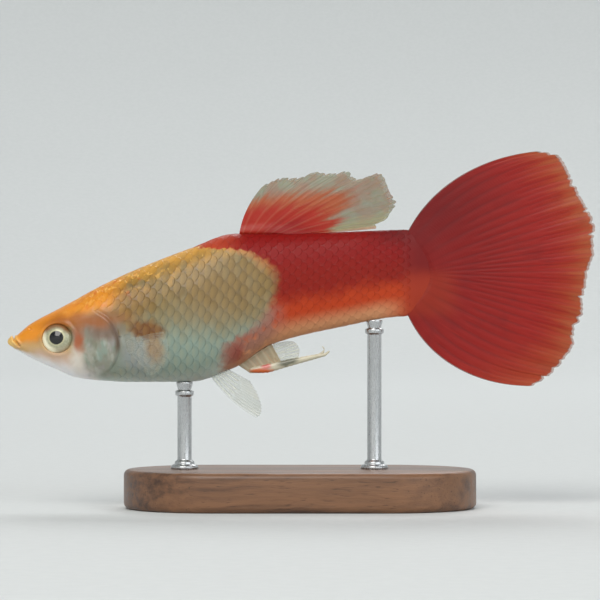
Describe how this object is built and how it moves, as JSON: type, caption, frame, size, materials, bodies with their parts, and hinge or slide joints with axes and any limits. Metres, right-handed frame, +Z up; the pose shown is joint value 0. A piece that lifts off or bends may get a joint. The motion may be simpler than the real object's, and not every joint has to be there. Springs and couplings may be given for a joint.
{
  "type": "fancy guppy",
  "caption": "Life-size still model of a male fancy guppy with a wide red fan tail, swept dorsal fin and clear paired fins, held on rods over a small oval plinth.",
  "frame": {"origin": "middle of the plinth's underside, where the stand rests", "axes": "+Z up; -X the way the fish faces, +X towards its tail; -Y the fish's left side, +Y its right"},
  "size_m": [0.045, 0.014, 0.0273],
  "materials": {
    "skin_front": "satin painted resin in gold, grey-green and orange, under a wet-looking coat",
    "skin_tail": "satin painted resin, deep red to orange-red, under a wet-looking coat",
    "eye": "polished, pale silver-green iris round a black pupil",
    "fin_clear": "clear thin film with pale rays",
    "fin_red": "thin translucent film, deep red to orange with a pale edge",
    "stand_wood": "oiled dark walnut",
    "stand_steel": "finely brushed"
  },
  "bodies": {
    "root": {"head": "skin_front", "trunk": "skin_front", "tail_stalk": "skin_tail", "eye_left": "eye", "eye_right": "eye", "pectoral_fin_left": "fin_clear", "pectoral_fin_right": "fin_clear", "pelvic_fin_left": "fin_clear", "pelvic_fin_right": "fin_clear", "anal_fin": "fin_clear", "dorsal_fin": "fin_red", "tail_fin": "fin_red", "stand_plinth": "stand_wood", "stand_rod_front": "stand_steel", "stand_rod_rear": "stand_steel"}
  },
  "joints": []
}
